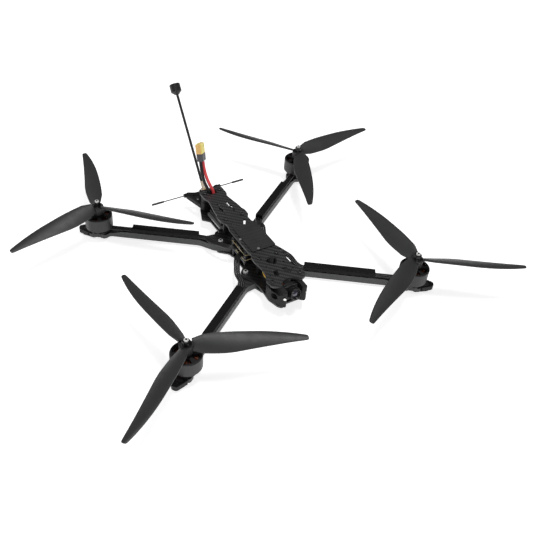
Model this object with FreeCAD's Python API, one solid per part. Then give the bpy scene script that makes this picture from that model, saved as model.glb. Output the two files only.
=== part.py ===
"""Ten-inch FPV racing drone, millimetres.

Frame: +Z up, nose towards -Y, origin on the ground under the centre of the
motor rectangle.  Names ending in right lie at -X and names ending in left lie
at +X, as the pilot sees them looking along the nose.
"""
import FreeCAD, Part
import math
import os

Vector = FreeCAD.Vector
UP = Vector(0, 0, 1)
ORIGIN = Vector(0, 0, 0)

# ---- driving dimensions -------------------------------------------------
motor_x = 150.8
motor_y = 130.0
arm_crossing_y = 23.0
propeller_radius = 127.0

bottom_plate_z = 0.5
plate_thickness = 2.5
arm_thickness = 9.0
standoff_length = 21.0
arm_z = bottom_plate_z + plate_thickness
mid_plate_z = arm_z + arm_thickness
deck_z = mid_plate_z + plate_thickness
top_plate_z = deck_z + standoff_length
top_z = top_plate_z + plate_thickness

arm_half_width = 5.1
arm_root_inner = 12.0
arm_root_outer = 14.5
motor_pad_thickness = 5.4
motor_seat_z = arm_z + motor_pad_thickness
ramp_low = -19.0
ramp_high = -31.0
ramp_length = ramp_low - ramp_high
arm_bolt = (24.8, 32.4)
front_post = (12.1, 40.0)
rear_post = (12.1, 44.9)
nose_post = (18.75, 81.3)
tail_post = (10.8, 105.5)

screw_radius = 1.5
screw_hole_radius = 1.6
screw_head_radius = 2.85
screw_head_height = 1.65
countersink_radius = 2.9
standoff_radius = 2.6
fit_gap = 0.05
pad_thickness = 1.0
small_screw_radius = 1.0
small_head_radius = 1.7

cover_width = 10.0
cover_height = 7.1
cover_wall = 1.2
cover_start = 130.0
cover_end = 44.0

wire_radius = 1.2
wire_pitch = 2.55
wire_start = 14.0
wire_z = mid_plate_z + wire_radius + 0.3

stack_pitch = 30.5
board_half = 18.0
esc_z = deck_z + 4.0
controller_z = esc_z + 8.0
board_thickness = 1.6

bell_radius = 17.65
bell_wall = 1.7
bell_bottom = 16.5
bell_top = 33.8
stator_low = bell_bottom + 2.6
stator_high = bell_top - 4.7
hub_seat = 36.0
hub_height = 10.5
hub_radius = 7.6
shaft_radius = 2.5
shaft_top = 54.5
blade_z = 45.5
nut_top = 52.5
rotor_gap = 0.08

camera_pivot_y = -92.0
camera_pivot_z = 25.4
camera_uptilt = 20.0
camera_half_width = 9.5
lens_barrel = 5.9
lens_mouth = 4.4
guard_inner_x = 10.0
guard_outer_x = 14.4
guard_screw_way = Vector(0.6, -0.8, 0)

antenna_foot = Vector(0, 124.0, 19.1)
antenna_lean = 51.6
link_rod_y = 134.0
link_rod_z = 20.4

lead_radius = 2.1
lead_foot_z = 20.4
plug_foot = Vector(-5.0, 126.9, 75.5)
plug_run = Vector(0.6, 4.4, 11.7)
plug_turn = 46.0
RED_ROUTE = (
    (2.9, 103.6, lead_foot_z), (2.9, 103.6, 36.4), (-2.8, 110.8, 49.6), (-3.4, 123.3, 63.4),
    (-2.8, 127.7, 75.1),
)
BLACK_ROUTE = (
    (-2.6, 104.6, lead_foot_z), (-2.6, 104.6, 36.4), (-8.0, 112.6, 49.3), (-7.8, 121.7, 64.2),
    (-7.2, 126.1, 75.9),
)

ARMS = {
    "front_right": (-1, -1),
    "front_left": (1, -1),
    "rear_right": (-1, 1),
    "rear_left": (1, 1),
}
# turn of the first blade from +X, and whether the rotor turns anticlockwise seen from above
ROTORS = {
    "front_right": (98.3, True),
    "front_left": (87.8, False),
    "rear_right": (78.3, False),
    "rear_left": (4.3, True),
}

# blade: radius, leading edge ahead of the axis, trailing edge behind it, pitch angle
BLADE_STATIONS = (
    (6.0, 5.5, 5.0, 31.0),
    (15.0, 8.6, 7.6, 29.0),
    (27.0, 9.9, 9.0, 26.5),
    (42.0, 10.6, 9.9, 23.5),
    (58.0, 10.8, 8.7, 20.5),
    (76.0, 10.6, 6.8, 17.3),
    (94.0, 9.2, 5.1, 14.0),
    (110.0, 6.9, 3.8, 10.5),
    (121.0, 4.6, 3.1, 8.5),
    (126.0, 3.1, 2.5, 8.0),
    (127.0, 1.3, 1.3, 8.0),
)
CHORD_PARTS = [0.0, 0.12, 0.35, 0.65, 1.0]
blade_steps = 20

arm_heading = math.degrees(math.atan2(motor_y - arm_crossing_y, motor_x))
arm_reach = math.hypot(motor_x, motor_y - arm_crossing_y)


# ---- small helpers ------------------------------------------------------
def save(name, shape):
    """Write one node, as a single solid or a group of separate solids."""
    solids = shape.Solids
    out = solids[0] if len(solids) == 1 else Part.makeCompound(solids)
    for solid in solids:
        if not solid.isValid():
            print("INVALID", name)
    out.exportStep("parts/%s.step" % name)
    print("%-24s %2d solids %9.1f mm3" % (name, len(solids), out.Volume))


def group(shapes):
    return Part.makeCompound([solid for shape in shapes for solid in shape.Solids])


def fuse(shapes):
    return shapes[0].fuse(shapes[1:]).removeSplitter()


def cut(shape, tools):
    return shape.cut(Part.makeCompound(tools))


def rod(radius, x, y, z_low, z_high):
    return Part.makeCylinder(radius, z_high - z_low, Vector(x, y, z_low), UP)


def rod_between(radius, start, end):
    run = end - start
    return Part.makeCylinder(radius, run.Length, start, run)


def tube(outer, inner, x, y, z_low, z_high):
    return rod(outer, x, y, z_low, z_high).cut(rod(inner, x, y, z_low - 1, z_high + 1))


def block(x_low, x_high, y_low, y_high, z_low, z_high):
    size = (x_high - x_low, y_high - y_low, z_high - z_low)
    return Part.makeBox(size[0], size[1], size[2], Vector(x_low, y_low, z_low))


def rounded_block(x_low, x_high, y_low, y_high, z_low, z_high, radius):
    corners = [(x_low, y_low), (x_high, y_low), (x_high, y_high), (x_low, y_high)]
    return slab([(x, y, radius) for x, y in corners], z_low, z_high)


def outline(corners, z):
    """Closed wire through corners (x, y, radius), each corner rounded by a tangent arc."""
    count = len(corners)
    starts, mids, ends = [], [], []
    for index, (x, y, radius) in enumerate(corners):
        here = Vector(x, y, z)
        before = Vector(corners[index - 1][0], corners[index - 1][1], z) - here
        after = Vector(corners[(index + 1) % count][0], corners[(index + 1) % count][1], z) - here
        before.normalize()
        after.normalize()
        half = before.getAngle(after) / 2
        if radius <= 0 or half > math.radians(89.5):
            starts.append(here)
            mids.append(None)
            ends.append(here)
            continue
        setback = radius / math.tan(half)
        inward = before + after
        inward.normalize()
        centre = here + inward * (radius / math.sin(half))
        starts.append(here + before * setback)
        mids.append(centre - inward * radius)
        ends.append(here + after * setback)
    edges = []
    for index in range(count):
        if mids[index] is not None:
            edges.append(Part.Arc(starts[index], mids[index], ends[index]).toShape())
        leave, arrive = ends[index], starts[(index + 1) % count]
        if (arrive - leave).Length > 1e-6:
            edges.append(Part.LineSegment(leave, arrive).toShape())
    return Part.Wire(edges)


def slab(corners, z_low, z_high):
    """Flat plate with a rounded outline."""
    face = Part.Face(outline(corners, z_low))
    return face.extrude(Vector(0, 0, z_high - z_low))


def symmetric(half):
    """Full outline from the corners of the +X half, listed nose to tail."""
    return half + [(-x, y, radius) for x, y, radius in reversed(half)]


def slot(x, y_low, y_high, half_width, z_low, z_high):
    ends = [rod(half_width, x, y, z_low, z_high) for y in (y_low, y_high)]
    return fuse([block(x - half_width, x + half_width, y_low, y_high, z_low, z_high)] + ends)


def to_quadrant(shape, signs):
    """Mirror a shape made in the +X +Y quadrant into another one."""
    if signs[0] < 0:
        shape = shape.mirror(ORIGIN, Vector(1, 0, 0))
    if signs[1] < 0:
        shape = shape.mirror(ORIGIN, Vector(0, 1, 0))
    return shape


def on_arm(shape):
    """Move a shape made with the motor axis at the origin and +X outwards onto the +X +Y arm."""
    shape = shape.copy()
    shape.rotate(ORIGIN, UP, arm_heading)
    shape.translate(Vector(motor_x, motor_y, 0))
    return shape


def arm_point(along, across, z):
    """Point of the +X +Y arm: along from the motor axis (outwards positive), across to its left."""
    turn = math.radians(arm_heading)
    x = motor_x + along * math.cos(turn) - across * math.sin(turn)
    y = motor_y + along * math.sin(turn) + across * math.cos(turn)
    return Vector(x, y, z)


def route(points, radius, report=None):
    """Round tube along straight runs joined by tangent arcs."""
    edges = []
    leave = points[0]
    length = 0.0
    smallest = None
    for before, corner, after in zip(points, points[1:], points[2:]):
        back = before - corner
        ahead = after - corner
        run = min(back.Length, ahead.Length)
        back.normalize()
        ahead.normalize()
        half = back.getAngle(ahead) / 2
        setback = 0.45 * run
        bend = setback * math.tan(half)
        smallest = bend if smallest is None else min(smallest, bend)
        inward = back + ahead
        inward.normalize()
        centre = corner + inward * (bend / math.sin(half))
        arrive = corner + back * setback
        edges.append(Part.LineSegment(leave, arrive).toShape())
        following = corner + ahead * setback
        edges.append(Part.Arc(arrive, centre - inward * bend, following).toShape())
        leave = following
    edges.append(Part.LineSegment(leave, points[-1]).toShape())
    path = Part.Wire(edges)
    length = path.Length
    section = Part.Wire([Part.makeCircle(radius, points[0], points[1] - points[0])])
    body = path.makePipeShell([section], True, True)
    if report:
        ideal = math.pi * radius * radius * length
        print("%s length %.1f smallest radius %.1f volume ratio %.4f"
              % (report, length, smallest, body.Volume / ideal))
    return body


# ---- frame plates and arms ----------------------------------------------
def post_places():
    """Where the eight standoffs stand."""
    places = []
    for x_sign in (-1, 1):
        places.append((x_sign * nose_post[0], -nose_post[1]))
        places.append((x_sign * front_post[0], -front_post[1]))
        places.append((x_sign * rear_post[0], rear_post[1]))
        places.append((x_sign * tail_post[0], tail_post[1]))
    return places


def arm_bolt_places():
    return [(sx * arm_bolt[0], sy * arm_bolt[1]) for sx in (-1, 1) for sy in (-1, 1)]


def stack_places():
    half = stack_pitch / 2
    return [(sx * half, sy * half) for sx in (-1, 1) for sy in (-1, 1)]


def drill(plate, places, radius, z_low, z_high):
    return cut(plate, [rod(radius, x, y, z_low - 1, z_high + 1) for x, y in places])


def bottom_plate():
    half = [
        (16.0, -62, 6), (20.5, -50, 8), (30.0, -38.5, 4), (30.0, -29, 4), (19.5, -20, 5),
        (16.5, -12, 8), (16.5, 12, 8), (19.5, 20, 5), (30.0, 29, 4), (30.0, 38.5, 4),
        (21.5, 52, 8), (16.0, 66, 6),
    ]
    plate = slab(symmetric(half), bottom_plate_z, arm_z)
    clamped = [place for place in post_places() if abs(place[1]) < 60]
    countersunk = clamped + arm_bolt_places() + stack_places()
    plate = drill(plate, countersunk, screw_hole_radius, bottom_plate_z, arm_z)
    depth = countersink_radius - screw_hole_radius + 0.1
    seats = [
        Part.makeCone(countersink_radius, screw_hole_radius, depth, Vector(x, y, bottom_plate_z), UP)
        for x, y in countersunk
    ]
    lightening = [
        rounded_block(-6, 6, y - 6.5, y + 6.5, bottom_plate_z - 1, arm_z + 1, 3) for y in (-43, 43)
    ]
    return cut(plate, seats + lightening)


def mid_plate():
    half = [
        (9.5, -98.0, 2.5), (14.5, -103.5, 4), (19.5, -98, 6), (23.5, -84, 6), (22.0, -62, 20),
        (24.0, -50, 8), (30.8, -39, 4), (30.2, -29.5, 4), (18.5, -19, 6), (16.5, -12, 6),
        (16.5, 12, 6), (18.5, 19, 6), (30.2, 29.5, 4), (30.8, 39, 4), (20.5, 47, 4),
        (17.0, 52, 5), (17.0, 76, 5), (25.5, 84.5, 3), (20.5, 97, 5), (17.5, 105, 4),
        (13.0, 112, 4),
    ]
    plate = slab(symmetric(half), mid_plate_z, deck_z)
    places = post_places() + arm_bolt_places() + stack_places()
    plate = drill(plate, places, screw_hole_radius, mid_plate_z, deck_z)
    windows = [slot(sx * 7.5, 60, 74, 2.6, mid_plate_z - 1, deck_z + 1) for sx in (-1, 1)]
    windows.append(rounded_block(-6, 6, -66, -50, mid_plate_z - 1, deck_z + 1, 3))
    return cut(plate, windows)


def camera_bay(z_low, z_high):
    """Round bite out of the nose of the top plate above the camera."""
    return rod(12.6, 0, -96.4, z_low, z_high)


def top_plate():
    half = [
        (9.0, -93.0, 0), (14.5, -92.4, 2.0), (23.3, -88.6, 5.0), (24.6, -78.0, 4.5),
        (18.8, -66.5, 8), (18.4, -54, 10), (20.0, -44, 5), (19.2, -34.5, 3), (16.8, -30, 2.5),
        (17.9, -24, 5), (17.9, 23, 5), (16.2, 29.5, 4), (16.2, 36.5, 3), (19.8, 42.5, 4),
        (20.2, 51.5, 3), (18.2, 57, 4), (17.8, 64, 8), (13.6, 88.5, 4), (16.4, 95, 3),
        (16.4, 110, 3), (12.5, 113, 3),
    ]
    plate = slab(symmetric(half), top_plate_z, top_z)
    low, high = top_plate_z - 1, top_z + 1
    plate = drill(plate, post_places(), screw_hole_radius, top_plate_z, top_z)
    tools = [camera_bay(low, high)]
    for sx in (-1, 1):
        tools.append(slot(sx * 6.6, 56, 76.5, 1.3, low, high))
        tools.append(rod(3.0, sx * 6.6, 66, low, high))
        tools.append(slab([(sx * 3.2, 26.0, 0.8), (sx * 5.8, 24.6, 0.8), (sx * 11.0, 33.4, 0.8),
                           (sx * 8.4, 34.9, 0.8)], low, high))
        tools.append(slab([(sx * 2.6, -65.5, 1), (sx * 9.0, -66.5, 1), (sx * 11.5, -76.5, 1),
                           (sx * 4.4, -75.0, 1)], low, high))
        tools.append(rod(1.6, sx * 11.0, -57, low, high))
        tools.append(rod(1.1, sx * 15.2, -71.5, low, high))
    tools.append(slab([(-7.8, -46.0, 1.5), (-1.5, -42.5, 1), (1.5, -42.5, 1), (7.8, -46.0, 1.5),
                       (5.6, -52.5, 1.5), (0.0, -57.0, 1.5), (-5.6, -52.5, 1.5)], low, high))
    tools.append(rounded_block(-6.6, 5.8, 99.5, 109.4, low, high, 2.5))
    tools += [rod(small_screw_radius + 0.1, x, y, low, high) for x, y in pad_screw_places()]
    return cut(plate, tools)


def motor_pad_corners(grow):
    """Outline of the arm's motor pad: four screw lugs and a tongue beyond the motor."""
    edge = arm_half_width + grow
    lug = 10.8 + grow
    half = [
        (-13.0 - ramp_length, edge, 0), (-14.5, edge, 6.0 - grow), (-lug, lug, 3.8 + grow),
        (-3.6, lug, 3.0), (0.0, 7.4 + grow, 3.3), (3.6, lug, 3.0), (lug, lug, 3.8 + grow),
        (13.0 + grow, 7.0 + grow, 3.0), (18.0, 4.8 + grow, 5.0), (22.6 + grow, 2.2 + grow, 1.8),
    ]
    return half + [(x, -y, radius) for x, y, radius in reversed(half)]


def arm(rear):
    """Carbon arm, made on the +X +Y quadrant with its root bolts, thinner under the motor."""
    root = 10.0 - arm_reach
    neck = 33.0 - arm_reach
    waist = 53.0 - arm_reach
    outer_neck = 28.0 - arm_reach
    outer_waist = 45.0 - arm_reach
    corners = [
        (root, -arm_root_inner, 3), (neck, -arm_root_inner, 14), (waist, -arm_half_width, 20),
        (ramp_low, -arm_half_width, 0), (ramp_low, arm_half_width, 0),
        (outer_waist, arm_half_width, 14), (outer_neck, arm_root_outer, 10), (root, arm_root_outer, 3),
    ]
    beam = slab(corners, arm_z, mid_plate_z)
    drop = mid_plate_z - motor_seat_z
    slope = [Vector(ramp_high, -10, mid_plate_z), Vector(ramp_low, -10, motor_seat_z),
             Vector(ramp_low + 1, -10, motor_seat_z), Vector(ramp_low + 1, -10, mid_plate_z + drop),
             Vector(ramp_high, -10, mid_plate_z + drop)]
    ramp = Part.Face(Part.makePolygon(slope + [slope[0]])).extrude(Vector(0, 20, 0))
    pad = slab(motor_pad_corners(0.0), arm_z, motor_seat_z)
    tools = [rod(screw_hole_radius, x, y, arm_z - 1, mid_plate_z) for x, y in motor_screw_places()]
    tools.append(rod(4.0, 0, 0, arm_z - 1, mid_plate_z))
    shape = on_arm(cut(fuse([beam.cut(ramp), pad]), tools))
    post = rear_post if rear else front_post
    return drill(shape, [arm_bolt, post], screw_hole_radius, arm_z, mid_plate_z)


def wire_cover():
    """Upside-down channel that hides the motor wires on top of an arm."""
    half = cover_width / 2
    low, high = mid_plate_z, mid_plate_z + cover_height
    shell = block(-cover_start, -cover_end, -half, half, low, high)
    long_edges = [edge for edge in shell.Edges
                  if abs(edge.CenterOfMass.z - high) < 0.01 and edge.Length > 20]
    shell = shell.makeFillet(1.0, long_edges)
    inner = half - cover_wall
    tools = [block(-cover_start - 1, -cover_end + 1, -inner, inner, low - 1, high - cover_wall)]
    pitch = 10.0
    for step in range(int((cover_start - cover_end) / pitch)):
        x = -cover_start + 1.6 + pitch * step
        tools.append(block(x, x + pitch - 3.2, -half - 1, half + 1, low - 1, low + 1.5))
    return on_arm(cut(shell, tools))


def foot_pad():
    """Soft bumper round the tongue of an arm, with a sole under the motor pad."""
    wall_half = [(12.8, 9.6, 1.0), (19.0, 7.2, 8.0), (27.6, 3.4, 4.5)]
    sole_half = [(-9.5, 6.4, 3.0), (12.0, 6.4, 3.0), (23.0, 3.6, 3.0)]
    wall = slab(wall_half + [(x, -y, radius) for x, y, radius in reversed(wall_half)],
                arm_z, motor_seat_z + 0.8)
    sole = slab(sole_half + [(x, -y, radius) for x, y, radius in reversed(sole_half)], 0.0, arm_z)
    recess = slab(motor_pad_corners(fit_gap), arm_z, motor_seat_z + 2)
    heads = [rod(screw_head_radius + 0.3, x, y, -1, arm_z) for x, y in motor_screw_places()]
    return on_arm(cut(fuse([wall, sole]), heads + [recess]))


# ---- fasteners ----------------------------------------------------------
def button_head(x, y, z, shank_low):
    """Button-head screw standing on z with its shank reaching down to shank_low."""
    head = rod(screw_head_radius, x, y, z, z + screw_head_height)
    crown = [edge for edge in head.Edges
             if abs(edge.CenterOfMass.z - z - screw_head_height) < 0.01]
    head = head.makeFillet(0.9, crown)
    head = head.cut(hexagon(2.0, x, y, z + 0.75, z + screw_head_height + 1))
    return fuse([head, rod(screw_radius, x, y, shank_low, z + 0.1)])


def countersunk(x, y, shank_high):
    """Flat-head screw flush with the underside of the bottom plate."""
    depth = countersink_radius - screw_radius
    head = Part.makeCone(countersink_radius - fit_gap, screw_radius, depth,
                         Vector(x, y, bottom_plate_z), UP)
    shank = rod(screw_radius, x, y, bottom_plate_z, shank_high)
    socket = hexagon(2.0, x, y, bottom_plate_z - 1, bottom_plate_z + 0.9)
    return fuse([head, shank]).cut(socket)


def hexagon(across_flats, x, y, z_low, z_high):
    reach = across_flats / math.sqrt(3)
    corners = []
    for step in range(6):
        turn = math.radians(60 * step)
        corners.append((x + reach * math.cos(turn), y + reach * math.sin(turn), 0))
    return slab(corners, z_low, z_high)


def hex_nut(across_flats, bore, x, y, z_low, z_high):
    return hexagon(across_flats, x, y, z_low, z_high).cut(rod(bore, x, y, z_low - 1, z_high + 1))


def arm_bolts():
    shapes = []
    for x, y in arm_bolt_places():
        shapes.append(countersunk(x, y, deck_z + 3.4))
        shapes.append(hex_nut(5.5, screw_hole_radius, x, y, deck_z, deck_z + 2.6))
    return group(shapes)


def standoffs():
    shapes = []
    for x, y in post_places():
        post = rod(standoff_radius, x, y, deck_z, top_plate_z)
        rims = [edge for edge in post.Edges if len(edge.Vertexes) == 1]
        post = post.makeChamfer(0.3, rims)
        shapes.append(post.cut(rod(screw_hole_radius, x, y, deck_z - 1, top_plate_z + 1)))
    return group(shapes)


def plate_screws():
    grip = 6.0
    shapes = [button_head(x, y, top_z, top_plate_z - grip) for x, y in post_places()]
    for x, y in post_places():
        if abs(y) < 60:
            shapes.append(countersunk(x, y, deck_z + grip))
        else:
            head_top = mid_plate_z
            head = rod(screw_head_radius, x, y, head_top - screw_head_height, head_top)
            shapes.append(fuse([head, rod(screw_radius, x, y, head_top - 0.1, deck_z + grip)]))
    return group(shapes)


# ---- electronics between the plates --------------------------------------
def board(z, half, parts):
    """Square circuit board with corner holes and the given parts standing on it."""
    sheet = rounded_block(-half, half, -half, half, z, z + board_thickness, 2.5)
    sheet = drill(sheet, stack_places(), 2.1, z, z + board_thickness)
    return fuse([sheet] + parts)


def esc_board():
    top = esc_z + board_thickness
    parts = []
    for sx in (-1, 1):
        for row in range(6):
            y = -8.0 + 3.2 * row
            low, high = sorted((sx * 7.2, sx * 11.6))
            parts.append(block(low, high, y - 1.25, y + 1.25, top - 0.1, top + 0.9))
    parts.append(rounded_block(-5.5, 5.5, -11.5, -3.5, top - 0.1, top + 1.4, 0.5))
    parts.append(block(-4.5, 4.5, 12.2, 17.2, top - 0.1, top + 1.0))
    return board(esc_z, board_half, parts)


def flight_controller():
    top = controller_z + board_thickness
    parts = [
        rounded_block(-4.5, 4.5, -4.5, 4.5, top - 0.1, top + 1.0, 0.4),
        block(-11.8, -7.4, 3.0, 9.5, top - 0.1, top + 1.1),
        block(7.6, 11.4, -9.0, -3.6, top - 0.1, top + 1.2),
        block(-17.9, -12.6, -4.4, 4.4, top - 0.1, top + 3.0),
        block(-3.6, 3.6, -17.9, -12.6, top - 0.1, top + 3.2),
        block(7.0, 17.6, 6.0, 11.0, top - 0.1, top + 2.2),
    ]
    return board(controller_z, board_half, parts)


def stack_grommets():
    """Soft rings that float both boards on the stack bolts."""
    shapes = []
    for x, y in stack_places():
        for z in (esc_z, controller_z):
            ring = fuse([rod(3.1, x, y, z - 1.6, z - 0.02),
                         rod(3.1, x, y, z + board_thickness + 0.02, z + board_thickness + 1.6),
                         rod(1.9, x, y, z - 1.0, z + board_thickness + 1.0)])
            shapes.append(ring.cut(rod(1.62, x, y, z - 3, z + 5)))
    return group(shapes)


def stack_bolts():
    shapes = []
    for x, y in stack_places():
        shapes.append(countersunk(x, y, controller_z + 6.8))
        shapes.append(hex_nut(5.5, screw_hole_radius, x, y, controller_z + 3.5, controller_z + 6.0))
        low, high = esc_z + board_thickness + 1.65, controller_z - 1.65
        shapes.append(tube(2.6, 1.62, x, y, low, high))
        shapes.append(tube(2.6, 1.62, x, y, deck_z + 0.02, esc_z - 1.65))
    return group(shapes)


def video_transmitter():
    """Video transmitter on the tail of the mid plate: a finned case on a wider heat-sink flange."""
    low, high = deck_z + 1.5, deck_z + 11.0
    flange = rounded_block(-15.5, 15.5, 53.0, 88.0, low, low + 3.0, 1.5)
    case = rounded_block(-12.6, 12.6, 54.0, 87.0, low + 2.9, high, 1.5)
    fins = [block(-11, 11, 56.0 + 4 * step, 58.0 + 4 * step, high - 3.0, high + 1) for step in range(8)]
    pad = block(-12, 12, 55.0, 86.0, deck_z, low + 0.1)
    socket = rod_between(3.1, Vector(0, 86.5, low + 5.5), Vector(0, 94.0, low + 5.5))
    return fuse([case.cut(Part.makeCompound(fins)), flange, pad, socket])


def receiver_module():
    return fuse([
        rounded_block(-6.0, 6.0, -36.0, -25.0, deck_z, deck_z + 1.2, 1.0),
        block(-4.0, 4.0, -34.5, -27.5, deck_z + 1.1, deck_z + 3.0),
    ])


def capacitor():
    """Round capacitor lying across the tail, beside the power leads."""
    axis_low = Vector(-8.0, 93.0, top_plate_z - 6.6)
    body = rod_between(4.0, axis_low, axis_low + Vector(16.0, 0, 0))
    return body.makeChamfer(0.5, [edge for edge in body.Edges if len(edge.Vertexes) == 1])


# ---- nose camera ----------------------------------------------------------
def tilted(shape):
    """Turn a camera piece, made level at the pivot, up to its rest tilt."""
    shape = shape.copy()
    shape.rotate(Vector(0, 0, 0), Vector(1, 0, 0), -camera_uptilt)
    shape.translate(Vector(0, camera_pivot_y, camera_pivot_z))
    return shape


def camera_case():
    half = camera_half_width - 0.4
    body = block(-half, half, -4.5, 5.0, -8.4, 8.4)
    body = body.makeFillet(1.6, body.Edges)
    flange = rod_between(8.3, Vector(0, -4.0, 0), Vector(0, -5.8, 0))
    barrel = rod_between(7.4, Vector(0, -5.0, 0), Vector(0, -8.2, 0))
    seat = rod_between(lens_barrel + 0.1, Vector(0, -3.0, 0), Vector(0, -9.0, 0))
    bores = [rod_between(1.0, Vector(sx * 5.0, 0, 0), Vector(sx * 12.0, 0, 0)) for sx in (-1, 1)]
    return tilted(cut(fuse([body, flange, barrel]), [seat] + bores))


def camera_lens():
    """Lens barrel with a knurled-looking stepped ring and a conical mouth."""
    barrel = rod_between(lens_barrel, Vector(0, -3.1, 0), Vector(0, -11.6, 0))
    collar = rod_between(7.6, Vector(0, -8.6, 0), Vector(0, -10.6, 0))
    ring = rod_between(7.0, Vector(0, -10.5, 0), Vector(0, -13.4, 0))
    rims = [edge for edge in ring.Edges if len(edge.Vertexes) == 1 and edge.CenterOfMass.y < -13]
    ring = ring.makeFillet(0.5, rims)
    mouth = Part.makeCone(lens_mouth, lens_mouth + 1.5, 2.6, Vector(0, -10.9, 0), Vector(0, -1, 0))
    return tilted(fuse([barrel, collar, ring]).cut(mouth))


def camera_glass():
    """Domed front element, seated at the foot of the lens mouth."""
    ball_radius = 7.0
    bulge = 5.7
    centre = Vector(0, -10.9 + bulge, 0)
    ball = Part.makeSphere(ball_radius, centre)
    keep = rod_between(lens_mouth - 0.1, Vector(0, -10.92, 0), Vector(0, -12.5, 0))
    return tilted(ball.common(keep))


def camera_screws():
    """Side screws that are the camera's tilt pivots."""
    shapes = []
    for sx in (-1, 1):
        shank = rod_between(0.95, Vector(sx * 5.2, 0, 0), Vector(sx * (guard_outer_x + 0.2), 0, 0))
        head_low = Vector(sx * (guard_outer_x + 0.1), 0, 0)
        head = rod_between(2.1, head_low, head_low + Vector(sx * 1.3, 0, 0))
        shapes.append(tilted(fuse([shank, head])))
    return group(shapes)


def camera_guard(side):
    """Printed side piece between the plates that shields the camera and carries its pivot."""
    if side > 0:
        outside = [(16.4, -102.2, 2.0), (18.2, -88.0, 6.0), (23.0, -78.0, 3.0)]
    else:
        outside = [(17.0, -101.5, 2.5), (23.4, -88.0, 6.0), (23.0, -76.5, 4.0)]
    plan = [(guard_inner_x, -101.5, 1.0), (12.8, -104.6, 1.5)] + outside
    plan += [(19.0, -70.5, 3.5), (14.5, -70.5, 1.5), (13.4, -84.0, 2), (guard_inner_x, -86.0, 1)]
    body = slab(plan, deck_z, top_plate_z)
    post = rod(standoff_radius + 0.15, nose_post[0], -nose_post[1], deck_z - 1, top_plate_z + 1)
    pivot = Vector(0, camera_pivot_y, camera_pivot_z)
    bore = rod_between(0.95 + rotor_gap, pivot, pivot + Vector(40, 0, 0))
    pocket = rod_between(4.0, pivot + Vector(guard_outer_x, 0, 0), pivot + Vector(40, 0, 0))
    crown_z = top_plate_z - 6.0
    crown = block(18.5, 30, -110, -60, crown_z, top_plate_z + 1)
    crown.rotate(Vector(18.5, 0, crown_z), Vector(0, 1, 0), -25)
    seat = guard_screw_seat()
    hole = rod_between(small_screw_radius + 0.1, seat, seat - guard_screw_way * 7.0)
    clearance = rod_between(small_head_radius + 0.2, seat, seat + guard_screw_way * 4.0)
    body = cut(body, [post, bore, pocket, crown, hole, clearance])
    return body if side > 0 else body.mirror(ORIGIN, Vector(1, 0, 0))


def guard_screw_seat():
    """Where the small screw sits on the slanted front of the +X guard."""
    return Vector(14.3, -103.45, 28.0) + guard_screw_way * 0.3


def camera_cable():
    """Three thin wires from the back of the camera to the flight controller."""
    shapes = []
    for strand in (-1, 0, 1):
        across = 1.4 * strand
        points = [
            Vector(across, -80.0, 24.6),
            Vector(-5.0 + across, -70.5, 23.4),
            Vector(-12.6 + 0.7 * across, -62.5, 24.4 + 0.7 * across),
            Vector(-12.2 + 0.7 * across, -52.0, 26.4 + 0.7 * across),
            Vector(-5.4 + across, -40.5, 28.8),
            Vector(-1.2 + across, -28.5, 31.2),
            Vector(across, -18.4, 31.1),
        ]
        shapes.append(route(points, 0.6, "camera_cable strand %d" % strand))
    return group(shapes)


# ---- tail: printed mount and aerials ----------------------------------------
def antenna_axis(distance):
    lean = math.radians(antenna_lean)
    return antenna_foot + Vector(0, math.cos(lean), math.sin(lean)) * distance


def rear_mount():
    """Printed tail piece that holds both aerials."""
    body = slab(symmetric([(9.5, 96.5, 1.5), (15.5, 97.5, 3), (17.3, 104.5, 3), (10.0, 115.0, 4),
                           (7.0, 131.0, 4)]), deck_z, deck_z + 12.5)
    shoulders = slab(symmetric([(7.0, 97.5, 1), (15.5, 98.0, 3), (16.5, 104.0, 3),
                                (12.0, 114.0, 3), (7.0, 115.5, 1)]), deck_z, top_plate_z)
    wings = []
    for sx in (-1, 1):
        plan = [(sx * 7.0, 129.5, 1), (sx * 22.5, 136.8, 2), (sx * 25.5, 131.5, 2),
                (sx * 17.5, 102.0, 2), (sx * 9.0, 108.0, 1)]
        gap = [(sx * 10.0, 122.0, 1.2), (sx * 19.0, 130.0, 1.2), (sx * 15.4, 114.0, 1.2)]
        web = slab(plan, link_rod_z - 3.2, link_rod_z + 2.6)
        wings.append(web.cut(slab(gap, link_rod_z - 5, link_rod_z + 5)))
        eye = Vector(sx * 21.5, link_rod_y, link_rod_z)
        wings.append(rod_between(2.8, eye, eye + Vector(sx * 6.0, 0, 0)))
    collar = rod_between(5.6, antenna_axis(-4.0), antenna_axis(7.0))
    body = fuse([body, shoulders, collar] + wings)
    tools = [rod(standoff_radius + 0.15, sx * tail_post[0], tail_post[1], deck_z - 1, top_plate_z + 1)
             for sx in (-1, 1)]
    tools.append(block(-6.4, 6.4, 90, 111.5, lead_foot_z, top_plate_z + 1))
    tools.append(block(-6.4, 6.4, 90, 100.5, deck_z + 2.0, lead_foot_z + 1))
    tools.append(rod_between(4.7, antenna_axis(7.0), antenna_axis(40)))
    tools.append(rod_between(3.35, antenna_axis(-2.5), antenna_axis(12)))
    tools.append(rod_between(0.75, Vector(-40, link_rod_y, link_rod_z), Vector(40, link_rod_y, link_rod_z)))
    tools.append(block(-60, 60, 90, 150, deck_z - 20, deck_z))
    return cut(body, tools)


def link_antenna():
    """T-shaped aerial of the radio link: a thin rod with a thicker sleeve at each end."""
    low, high = -75.0, 64.0
    sleeve = 17.0
    def at(x):
        return Vector(x, link_rod_y, link_rod_z)
    shapes = [
        rod_between(0.7, at(low + 1), at(high - 1)),
        rod_between(1.35, at(low), at(low + sleeve)),
        rod_between(1.35, at(high - sleeve), at(high)),
    ]
    return fuse(shapes)


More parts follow.
